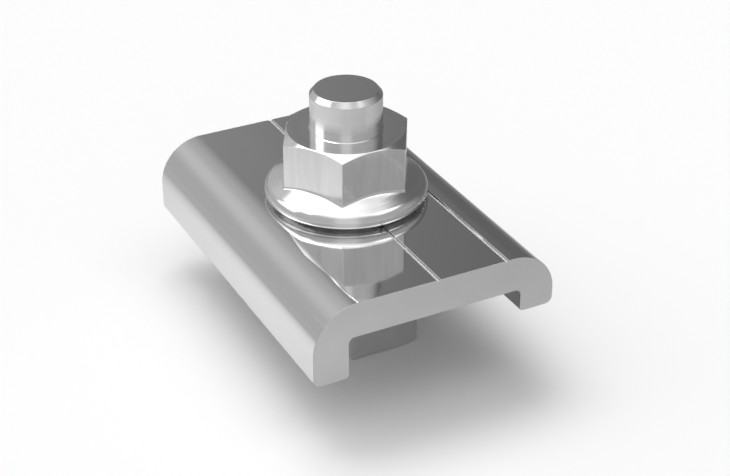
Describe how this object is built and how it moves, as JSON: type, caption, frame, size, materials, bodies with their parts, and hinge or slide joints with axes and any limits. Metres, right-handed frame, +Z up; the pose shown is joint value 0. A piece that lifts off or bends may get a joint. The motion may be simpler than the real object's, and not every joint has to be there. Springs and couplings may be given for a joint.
{
  "type": "solar panel clamp",
  "caption": "Channel-shaped clamp plate on a hammer-head bolt with a flange nut, for holding solar modules to a slotted rail.",
  "frame": {"origin": "centre of the base of the bolt's hammer head, on the bolt's axis, where the part stands", "axes": "+Z up along the bolt to its tip, +Y along the plate's extrusion, -X towards the long leg and +X towards the short leg"},
  "size_m": [0.0344, 0.05, 0.0345],
  "materials": {
    "plate_aluminium": "smooth bright extruded aluminium with saw-cut, deburred ends",
    "bolt_steel": "bright stainless steel, smooth",
    "nut_steel": "bright stainless steel, faintly drawn flats"
  },
  "bodies": {
    "bolt": {"hammer_head_bolt": "bolt_steel"},
    "plate": {"clamp_plate": "plate_aluminium"},
    "nut": {"flange_nut": "nut_steel"}
  },
  "joints": [
    {"name": "plate_slide", "type": "slide", "parent": "bolt", "child": "plate", "axis": [0, 0, 1], "range_m": [-0.0094, 0.0056]},
    {"name": "nut_turn", "type": "hinge", "parent": "plate", "child": "nut", "pos_m": [0, 0, 0.0239], "axis": [0, 0, 1], "range_deg": [-2256, 1344]}
  ],
  "couplings": [
    {"joint": "nut_turn", "follows": "plate_slide", "rad_per_m": 4188.8}
  ]
}
